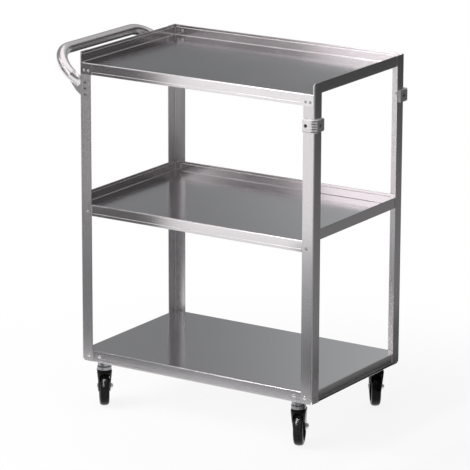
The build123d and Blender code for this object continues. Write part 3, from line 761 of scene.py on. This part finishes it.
@dataclass
class RivetSet:
    """The rivets of one CAD node: domed heads outside, spread tails inside."""

    node: str
    finish: Finish
    is_blind: bool = False
    shank_radius: float = 2.4 * MILLIMETRE
    head_radius: float = 4.0 * MILLIMETRE
    head_height: float = 1.6 * MILLIMETRE
    tail_radius: float = 3.5 * MILLIMETRE
    tail_length: float = 0.9 * MILLIMETRE
    recess_radius: float = 1.6 * MILLIMETRE
    recess_depth: float = 1.0 * MILLIMETRE
    mandrel_radius: float = 1.12 * MILLIMETRE
    mandrel_height: float = 0.3 * MILLIMETRE
    dome_steps: int = 7
    steps: int = 32

    def build(self) -> None:
        """Make the rivets, and the mandrels that stay in blind ones."""
        rivets = bmesh.new()
        mandrels = bmesh.new()
        for low, high in loose_boxes(self.node):
            middle = (low + high) / 2
            outward = math.copysign(1.0, middle.y)
            reach = high.y - low.y
            seat = middle + Vector((0.0, outward * (reach / 2 - self.head_height), 0.0))
            place = upright_on(seat, Vector((0.0, outward, 0.0)))
            lathe(rivets, self._outline(reach), place, self.steps)
            if self.is_blind:
                lathe(mandrels, self._mandrel(), place, self.steps)
        made = piece(f"{self.node}_turned", rivets, self.finish)
        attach(made, "cart_frame")
        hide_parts(self.node)
        if self.is_blind:
            # The blackened mandrels paint the shade inside the blind rivets' holes.
            plugs = piece(f"{self.node}_mandrels", mandrels, SHADED_MANDREL_STEEL)
            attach(plugs, "cart_frame")
        else:
            mandrels.free()

    def _outline(self, reach: float) -> Outline:
        """Corners of one rivet from its tail to the middle of its head.

        Args:
            reach: The rivet's whole length.

        Returns:
            Radius and height over the sheet of each corner.
        """
        tail = self.head_height - reach
        gripped = tail + self.tail_length
        curve = (self.head_radius**2 + self.head_height**2) / (2 * self.head_height)
        centre = (0.0, self.head_height - curve)
        start = math.degrees(math.acos(self.head_radius / curve))
        end = math.degrees(math.acos(self.recess_radius / curve)) if self.is_blind else UP_THE_AXIS
        corners = [(0.0, tail), (self.tail_radius, tail), (self.tail_radius, gripped)]
        corners += [(self.shank_radius, gripped), (self.shank_radius, 0.0)]
        corners += arc(centre, curve, start, end, self.dome_steps)
        if self.is_blind:
            floor = self.head_height - self.recess_depth
            corners += [(self.recess_radius, floor), (0.0, floor)]
        return corners

    def _mandrel(self) -> Outline:
        """Corners of the mandrel's broken end on the floor of the recess.

        Returns:
            Radius and height over the sheet of each corner.
        """
        floor = self.head_height - self.recess_depth
        top = floor + self.mandrel_height
        corners = [(0.0, floor), (self.recess_radius, floor), (self.mandrel_radius, floor)]
        return corners + [(self.mandrel_radius, top), (0.0, top)]


def bead(shape: bmesh.types.BMesh, start: Vector, end: Vector, radius: float, facets: int = 16) -> None:
    """Add a straight bead with softened ends.

    Args:
        shape: The mesh that it joins.
        start: Where its middle line starts.
        end: Where it ends.
        radius: Half its thickness.
        facets: Facets round it.
    """
    length = (end - start).length
    soft = radius / 2
    outline = [(0.0, 0.0), (radius - soft, 0.0), (radius, soft)]
    outline += [(radius, length - soft), (radius - soft, length), (0.0, length)]
    lathe(shape, outline, upright_on(start, end - start), facets)


@dataclass
class HemBeads:
    """The rolled edges of one tray shelf's hems: inside its rims and outside its front edge."""

    shelf: str
    rim_radius: float = 0.85 * MILLIMETRE
    apron_radius: float = 0.6 * MILLIMETRE
    hem_depth: float = 6.0 * MILLIMETRE
    hem_reach: float = 2.4 * MILLIMETRE
    corner_gap: float = 4.0 * MILLIMETRE
    front_gap: float = 8.0 * MILLIMETRE
    apron_half: float = 276.2 * MILLIMETRE

    def build(self) -> None:
        """Make one bead along the back rim, one along each end rim and one along the front edge."""
        low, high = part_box(self.shelf)
        level = high.z - self.hem_depth
        inner_x = high.x - self.hem_reach
        inner_y = high.y - self.hem_reach
        shape = bmesh.new()
        back = inner_x - self.corner_gap
        bead(shape, Vector((-back, inner_y, level)), Vector((back, inner_y, level)), self.rim_radius)
        for side in (-1.0, 1.0):
            start = Vector((side * inner_x, low.y + self.front_gap, level))
            end = Vector((side * inner_x, inner_y - self.corner_gap, level))
            bead(shape, start, end, self.rim_radius)
        front = Vector((self.apron_half, low.y + self.apron_radius, low.z + self.hem_depth))
        bead(shape, front * Vector((-1.0, 1.0, 1.0)), front, self.apron_radius)
        made = piece(f"{self.shelf}_beads", shape, PALE_HEM_HIGHLIGHT_STEEL)
        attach(made, "cart_frame")


@dataclass
class EdgeLap:
    """The end of the top shelf's front edge, where it laps over a front leg."""

    leg: str
    thickness: float = 0.5 * MILLIMETRE
    inlay: float = 0.3 * MILLIMETRE
    low: float = 780.0 * MILLIMETRE
    high: float = 804.6 * MILLIMETRE
    flange: float = 28.6 * MILLIMETRE
    bend: float = 3.0 * MILLIMETRE
    overlap: float = 3.5 * MILLIMETRE
    roll: float = 1.2 * MILLIMETRE
    hem: float = 0.5 * MILLIMETRE
    hem_depth: float = 6.0 * MILLIMETRE
    softness: float = 0.2 * MILLIMETRE

    def build(self) -> None:
        """Make a thin plate on the leg's face, rolled along its top and hemmed near its foot."""
        low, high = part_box(self.leg)
        side = math.copysign(1.0, low.x)
        outer = max(abs(low.x), abs(high.x)) - self.bend
        inner = max(abs(low.x), abs(high.x)) - self.flange - self.overlap
        front = low.y - self.thickness
        middle = Vector((side * (outer + inner) / 2, front + (self.thickness + self.inlay) / 2, 0.0))
        middle.z = (self.low + self.high) / 2
        size = (outer - inner, self.thickness + self.inlay, self.high - self.low, 1)
        shape = bmesh.new()
        bmesh.ops.create_cube(shape, size=1.0)
        place = Matrix.Translation(middle) @ Matrix.Diagonal(size)
        bmesh.ops.transform(shape, matrix=place, verts=shape.verts)
        bmesh.ops.bevel(
            shape,
            geom=shape.edges[:],
            offset=self.softness,
            affect="EDGES",
            segments=1,
            profile=0.5,
            material=-1,
        )
        for height, radius in ((self.high - self.roll, self.roll), (self.low + self.hem_depth, self.hem)):
            ends = [Vector((side * reach, front + radius, height)) for reach in (inner, outer)]
            bead(shape, *ends, radius)
        made = piece(f"{self.leg}_lap", shape, SHELF_STEEL)
        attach(made, "cart_frame")


@dataclass
class ShelfStack:
    """The three folded shelves, their bolsters and the rivets that hold them."""

    trays: tuple[str, ...] = ("shelf_top", "shelf_middle")
    base: str = "shelf_bottom"
    bolsters: tuple[str, ...] = ("bolster_left", "bolster_right")
    tray_rivets: tuple[str, ...] = ("top_shelf_rivets", "middle_shelf_rivets")
    base_rivets: tuple[str, ...] = ("bottom_shelf_rivets", "bolster_rivets")

    def build(self) -> None:
        """Dress the shelves and bolsters, and make their beads, laps and rivets."""
        WARDROBE.dress(SHELF_STEEL, *self.trays, self.base)
        WARDROBE.dress(BOLSTER_STEEL, *self.bolsters)
        WARDROBE.dress(DIMMED_TRAY_RIVET_STEEL, *self.tray_rivets)
        WARDROBE.dress(RIVET_STEEL, *self.base_rivets)
        for shelf in self.trays:
            HemBeads(shelf).build()
        for corner in (Corner.FRONT_LEFT, Corner.FRONT_RIGHT):
            EdgeLap(f"leg_{corner.value}").build()
        for node in self.tray_rivets:
            RivetSet(node, DIMMED_TRAY_RIVET_STEEL).build()
        for node in self.base_rivets:
            RivetSet(node, RIVET_STEEL).build()


@dataclass
class Uprights:
    """The four angle legs and the bumpers on two of them."""

    bumpers: tuple[str, ...] = ("bumper_front", "bumper_back")

    def build(self) -> None:
        """Dress the legs, bumpers and bumper screws."""
        WARDROBE.dress(LEG_STEEL, *(f"leg_{corner.value}" for corner in Corner))
        WARDROBE.dress(BUMPER_PLASTIC, *self.bumpers)
        WARDROBE.dress(SCREW_STEEL, "bumper_screws")


@dataclass
class PushHandle:
    """The bent tube handle and its rivets."""

    tube: str = "handle_tube"
    rivets: str = "handle_rivets"

    def build(self) -> None:
        """Dress the tube and make its rivets."""
        WARDROBE.dress(TUBE_STEEL, self.tube)
        WARDROBE.dress(BLIND_STEEL, self.rivets)
        RivetSet(self.rivets, BLIND_STEEL, is_blind=True).build()


@dataclass
class Tyre:
    """One moulded tyre with a bead at its bore and a parting line round its tread."""

    corner: Corner
    radius: float = 44.44 * MILLIMETRE
    width: float = 22.0 * MILLIMETRE
    shoulder: float = 6.5 * MILLIMETRE
    crown: float = 30.0 * MILLIMETRE
    bore: float = 32.45 * MILLIMETRE
    bead_height: float = 1.6 * MILLIMETRE
    bead_depth: float = 0.7 * MILLIMETRE
    flash_width: float = 0.7 * MILLIMETRE
    flash_height: float = 0.25 * MILLIMETRE
    shoulder_steps: int = 10
    crown_steps: int = 6
    steps: int = 96

    def build(self) -> None:
        """Make the tyre on its roll joint's axis."""
        at = self.corner.value
        joint = next(joint for joint in frame["joints"] if joint["name"] == f"roll_{at}")
        shape = bmesh.new()
        place = upright_on(Vector(joint["pos_m"]), Vector(joint["axis"]))
        lathe(shape, self._outline(), place, self.steps, closed=True)
        made = piece(f"moulded_tyre_{at}", shape, TYRE_BLACK)
        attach(made, f"wheel_{at}")
        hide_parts(f"tyre_{at}")

    def _outline(self) -> Outline:
        """Corners of the tyre's section, from the bore over one side and the tread to the other.

        Returns:
            Radius and distance from the tyre's middle plane of each corner.
        """
        tread = self.radius - self.flash_height
        half = self.width / 2
        lean = math.asin((half - self.shoulder) / (self.crown - self.shoulder))
        rise = math.asin(self.flash_width / self.crown)
        middle = tread - self.crown
        shoulder = (middle + (self.crown - self.shoulder) * math.cos(lean), half - self.shoulder)
        upper = [(self.bore, half - self.bead_depth), (self.bore + self.bead_height, half - self.bead_depth)]
        upper += [(self.bore + self.bead_height + self.bead_depth, half)]
        upper += arc(shoulder, self.shoulder, UP_THE_AXIS, math.degrees(lean), self.shoulder_steps)
        upper += arc((middle, 0.0), self.crown, math.degrees(lean), math.degrees(rise), self.crown_steps)[1:]
        upper += [(self.radius, self.flash_width / 2)]
        return upper + [(radius, -height) for radius, height in reversed(upper)]


@dataclass
class Caster:
    """One swivel caster."""

    corner: Corner
    plated: tuple[str, ...] = ("kingpin", "upper_race", "lower_race", "axle_sleeve")
    bright: tuple[str, ...] = ("axle_bolt", "axle_nut")

    def build(self) -> None:
        """Dress the caster's CAD nodes and make its tyre."""
        at = self.corner.value
        WARDROBE.dress(ZINC, *(f"{name}_{at}" for name in self.plated))
        WARDROBE.dress(AXLE_ZINC, *(f"{name}_{at}" for name in self.bright))
        WARDROBE.dress(BALL_STEEL, f"race_balls_{at}")
        WARDROBE.dress(FORK_PAINT, f"fork_{at}")
        WARDROBE.dress(CORE_BLACK, f"wheel_core_{at}")
        WARDROBE.dress(TYRE_BLACK, f"tyre_{at}")
        Tyre(self.corner).build()


@dataclass
class StemNuts:
    """The nuts and washers on the caster stems."""

    nodes: tuple[str, ...] = ("caster_stem_nuts", "caster_stem_washers")

    def build(self) -> None:
        """Dress the nuts and washers."""
        WARDROBE.dress(ZINC, *self.nodes)


@dataclass
class Softbox:
    """One soft lamp that faces the cart. One with receivers lights only those pieces."""

    name: str
    place: Point
    aim: Point
    size: tuple[float, float]
    power: float
    receivers: tuple[str, ...] = ()
    colour: Tint = (1.0, 0.955, 0.975)

    def build(self) -> None:
        """Make the lamp."""
        data = bpy.data.lights.new(self.name, "AREA")
        data.color = self.colour
        data.shape = "RECTANGLE"
        data.size, data.size_y = self.size
        data.energy = self.power
        lamp = bpy.data.objects.new(self.name, data)
        lamp.location = self.place
        lamp.rotation_mode = "QUATERNION"
        lamp.rotation_quaternion = (Vector(self.aim) - Vector(self.place)).to_track_quat("-Z", "Y")
        lamp.visible_camera = False
        if self.receivers:
            lit = bpy.data.collections.new(f"{self.name}_receivers")
            for name in self.receivers:
                lit.objects.link(bpy.data.objects[name])
            lamp.light_linking.receiver_collection = lit
        bpy.context.scene.collection.objects.link(lamp)


@dataclass(frozen=True)
class Plane:
    """A plane beside, behind or under the cart that cards lie in or close to."""

    origin: Point
    inward: Point
    along: Axis = Axis.LENGTH
    upward: Axis = Axis.HEIGHT

    def at(self, across: float, height: float, layer: float) -> Vector:
        """Find a place on the plane or close to it.

        Args:
            across: The distance along it.
            height: The distance up it.
            layer: The distance from it towards the cart.

        Returns:
            The place.
        """
        on_plane = self.along.vector * across + self.upward.vector * height
        return Vector(self.origin) + on_plane + Vector(self.inward) * layer


@dataclass
class Card:
    """A glowing card beside the cart that only reflections show, or a glowing wall that keeps other light off
    and lights nearby faces dimly with its own glow.

    Its glow goes from the first of its levels to the second, over its reach along its fade's axis.
    """

    name: str
    plane: Plane
    across: Reach
    heights: Reach
    levels: Reach
    fade: Axis
    reach: Reach
    layer: float = 0.0
    tint: Tint = (1.0, 1.0, 1.0)
    is_wall: bool = False

    def build(self) -> None:
        """Make the card on its plane."""
        left, right = self.across
        low, high = self.heights
        corners = ((left, low), (right, low), (right, high), (left, high))
        mesh = bpy.data.meshes.new(self.name)
        mesh.from_pydata([self.plane.at(*corner, self.layer) for corner in corners], [], [(0, 1, 2, 3)])
        mesh.materials.append(self._grey())
        card = bpy.data.objects.new(self.name, mesh)
        card.visible_camera = False
        card.visible_glossy = not self.is_wall
        card.visible_diffuse = self.is_wall
        card.visible_shadow = self.is_wall
        bpy.context.scene.collection.objects.link(card)

    def _grey(self) -> bpy.types.Material:
        """Make the card's glow.

        Returns:
            The material.
        """
        material, sheet = surface(self.name)
        share = sheet.step(sheet.along(sheet.place(), self.fade.vector), *self.reach)
        first, second = (tuple(level * part for part in self.tint) for level in self.levels)
        light = sheet.node("ShaderNodeEmission", {}, {"Color": sheet.shade(share, first, second)})
        sheet.node("ShaderNodeOutputMaterial", {}, {"Surface": light})
        return material


def photo_lamps() -> list[Softbox]:
    """The lamps that the photograph's highlights and shadows point to.

    Returns:
        The lamps, ready to build.
    """
    middle = (0.0, 0.0, 0.45)
    right_wheel = (0.26, -0.18, 0.065)
    left_wheel = (-0.255, -0.18, 0.065)
    right_tyre = ("moulded_tyre_front_right",)
    left_tyre = ("moulded_tyre_front_left",)
    spot = (0.05, 0.05)
    strip = (0.03, 0.41)
    return [
        Softbox("key_softbox", (-1.9, -3.1, 2.0), middle, (5.4, 4.0), 78.0),
        Softbox("top_softbox", (0.0, 0.2, 3.2), middle, (4.0, 4.0), 46.0),
        Softbox("spark_lamp", (-1.95, -2.2, 2.4), middle, (1.6, 0.8), 52.0),
        Softbox("right_spot", (0.33, -0.46, 0.46), right_wheel, spot, 3.0, right_tyre),
        Softbox("right_strip", (0.275, -0.45, 0.245), right_wheel, strip, 5.0, right_tyre),
        Softbox("left_spot", (-0.08, -0.41, 0.46), left_wheel, spot, 2.0, left_tyre),
        Softbox("left_strip", (-0.135, -0.42, 0.245), left_wheel, strip, 2.5, left_tyre),
    ]


def photo_cards() -> list[Card]:
    """The grey cards that the photograph's reflections point to.

    Returns:
        The cards, ready to build.
    """
    front = Plane((0.0, -1.19, 0.0), (0.0, 1.0, 0.0))
    near = Plane((0.0, -0.49, 0.0), (0.0, 1.0, 0.0))
    right = Plane((0.43, 0.0, 0.0), (-1.0, 0.0, 0.0), along=Axis.WIDTH)
    back = Plane((0.0, 1.9, 0.0), (0.0, -1.0, 0.0))
    floor = Plane((0.0, 0.0, 0.004), (0.0, 0.0, 1.0), upward=Axis.WIDTH)
    long, wide, up = Axis
    cool = (0.965, 1.0, 1.02)
    return [
        Card("left_flag", front, (-3.76, -0.76), (0.0, 2.3), (0.09, 0.14), up, (0.5, 1.2)),
        Card("left_card", front, (-3.76, -0.76), (0.96, 1.06), (0.36, 0.36), up, (0.8, 1.2), 0.01),
        Card("leg_card", front, (-1.498, -0.918), (0.17, 0.45), (0.22, 0.36), up, (0.17, 0.45), 0.005),
        Card("fade_card", front, (-0.84, -0.54), (1.1, 1.5), (0.16, 0.9), long, (-0.84, -0.58), 0.005),
        Card("front_right_flag", front, (0.2, 2.2), (0.0, 1.7), (0.4, 0.15), up, (0.5, 0.75)),
        Card("front_high_card", front, (-0.44, 0.2), (0.66, 1.7), (1.0, 0.17), long, (-0.42, 0.2), 0.002),
        Card("band_card", front, (-1.26, -1.1), (0.1, 0.94), (0.32, 0.85), up, (0.4, 0.7), 0.007),
        Card("corner_card", front, (0.25, 1.05), (0.06, 0.5), (0.2, 1.0), up, (0.1, 0.35), 0.005),
        Card("low_left_flag", near, (-1.2, -0.3), (0.0, 0.34), (0.19, 0.21), up, (0.1, 0.2), tint=cool),
        Card("low_mid_flag", near, (-0.3, 0.07), (0.0, 0.354), (0.34, 0.7), up, (0.15, 0.28), tint=cool),
        Card("low_right_flag", near, (0.07, 0.43), (0.0, 0.372), (0.03, 0.38), up, (0.1, 0.24), tint=cool),
        Card("apron_card", near, (-0.55, 0.35), (0.0, 0.044), (0.12, 0.28), long, (-0.5, -0.1), 0.002, cool),
        Card(
            "right_wall", right, (-0.4, 2.0), (0.1, 1.6), (0.23, 0.06), up, (0.2, 0.9), -0.002, is_wall=True
        ),
        Card("right_flag", right, (-0.1, 2.0), (0.2, 1.6), (0.23, 0.06), up, (0.2, 0.9)),
        Card("right_foot_flag", right, (-0.1, 2.0), (0.1, 0.2), (0.1, 0.23), up, (0.1, 0.2)),
        Card("right_front_card", right, (-0.49, -0.1), (0.0, 1.6), (0.45, 0.2), wide, (-0.4, -0.1)),
        Card("right_low_flag", right, (-0.1, 2.0), (0.0, 0.1), (0.0, 0.18), up, (0.044, 0.056)),
        Card("back_high_card", back, (-2.3, 0.3), (1.25, 1.65), (0.18, 0.22), long, (-1.5, -0.5), tint=cool),
        Card("back_low_card", back, (-2.3, 0.3), (-0.05, 1.25), (0.25, 0.46), long, (-1.5, -0.5), tint=cool),
        Card("back_glow", back, (-2.8, 0.8), (1.65, 3.25), (0.5, 0.5), up, (1.6, 3.2)),
        Card("floor_card", floor, (-1.0, 0.6), (0.3, 2.2), (0.06, 0.06), wide, (0.3, 2.2)),
    ]


@dataclass
class Studio:
    """White floor, even surround, soft lamps and grey cards."""

    floor_radius: float = 40.0
    floor_facets: int = 96
    floor_white: float = 1.0
    floor_bounce: float = 0.22
    shadow_share: float = 0.13
    shadow_reach: Reach = (0.4, 1.1)
    world_level: float = 0.34
    softboxes: list[Softbox] = field(default_factory=photo_lamps)
    cards: list[Card] = field(default_factory=photo_cards)

    def build(self) -> None:
        """Make the floor, the world, the lamps and the cards."""
        self._floor()
        self._world()
        for item in (*self.softboxes, *self.cards):
            item.build()

    def _floor(self) -> None:
        """Make a round floor that looks white and keeps the cart's shadow."""
        shape = bmesh.new()
        bmesh.ops.create_circle(shape, cap_ends=True, radius=self.floor_radius, segments=self.floor_facets)
        mesh = bpy.data.meshes.new("studio_floor")
        shape.to_mesh(mesh)
        shape.free()
        material, sheet = surface("White floor")
        camera = sheet.node("ShaderNodeLightPath", output="Is Camera Ray")
        glossy = sheet.node("ShaderNodeLightPath", output="Is Glossy Ray")
        through = sheet.node("ShaderNodeLightPath", output="Is Transmission Ray")
        white = (self.floor_white, self.floor_white, self.floor_white, 1)
        grey = (self.floor_bounce, self.floor_bounce, self.floor_bounce, 1)
        glow = sheet.node("ShaderNodeEmission", {}, {"Strength": 1.0})
        lit = sheet.node("ShaderNodeBsdfDiffuse", {}, {"Color": white})
        away = sheet.node("ShaderNodeVectorMath", {"operation": "LENGTH"}, {0: sheet.place()}, "Value")
        share = sheet.step(away, *self.shadow_reach, self.shadow_share, 0.0)
        seen = sheet.node("ShaderNodeMixShader", {}, {0: share, 1: glow, 2: lit})
        bounce = sheet.node("ShaderNodeBsdfDiffuse", {}, {"Color": grey})
        shown = sheet.node("ShaderNodeMixShader", {}, {0: camera + glossy + through, 1: bounce, 2: seen})
        sheet.node("ShaderNodeOutputMaterial", {}, {"Surface": shown})
        mesh.materials.append(material)
        floor = bpy.data.objects.new("studio_floor", mesh)
        bpy.context.scene.collection.objects.link(floor)

    def _world(self) -> None:
        """Make an even grey surround."""
        world = bpy.data.worlds.new("Studio surround")
        world.use_nodes = True
        sheet = NodeSheet(world.node_tree)
        grey = sheet.node("ShaderNodeBackground", {}, {"Strength": self.world_level})
        sheet.node("ShaderNodeOutputWorld", {}, {"Surface": grey})
        bpy.context.scene.world = world


@dataclass
class PhotoCamera:
    """The camera that took the photograph, as fitted to the cart's edges."""

    azimuth: float = 32.745
    elevation: float = 15.047
    roll: float = 0.222
    distance: float = 7.2124
    target: Point = (-0.01624, 0.0, 0.4084)
    focal_pixels: float = 3195.95
    frame_pixels: float = 470.0
    sensor: float = 36.0
    far_clip: float = 100.0

    def build(self) -> None:
        """Make the camera and give it to the scene."""
        turn, rise, roll = (math.radians(angle) for angle in (self.azimuth, self.elevation, self.roll))
        back = Vector((math.sin(turn) * math.cos(rise), -math.cos(turn) * math.cos(rise), math.sin(rise)))
        right = Vector((math.cos(turn), math.sin(turn), 0.0))
        up = back.cross(right)
        across = math.cos(roll) * right + math.sin(roll) * up
        upward = math.cos(roll) * up - math.sin(roll) * right
        data = bpy.data.cameras.new("photo_camera")
        data.sensor_width = self.sensor
        data.lens = self.sensor * self.focal_pixels / self.frame_pixels
        data.clip_end = self.far_clip
        camera = bpy.data.objects.new("photo_camera", data)
        turned = Matrix((across, upward, back)).transposed().to_4x4()
        camera.matrix_world = Matrix.Translation(Vector(self.target) + back * self.distance) @ turned
        bpy.context.scene.collection.objects.link(camera)
        bpy.context.scene.camera = camera


def main() -> None:
    """Build the camera, the light and every sub-assembly's looks."""
    logging.basicConfig(level=logging.INFO, format="%(message)s")
    bpy.context.scene.view_settings.view_transform = "Standard"
    PhotoCamera().build()
    ShelfStack().build()
    Uprights().build()
    PushHandle().build()
    StemNuts().build()
    for corner in Corner:
        Caster(corner).build()
    Studio().build()


if __name__ == "__main__":
    main()
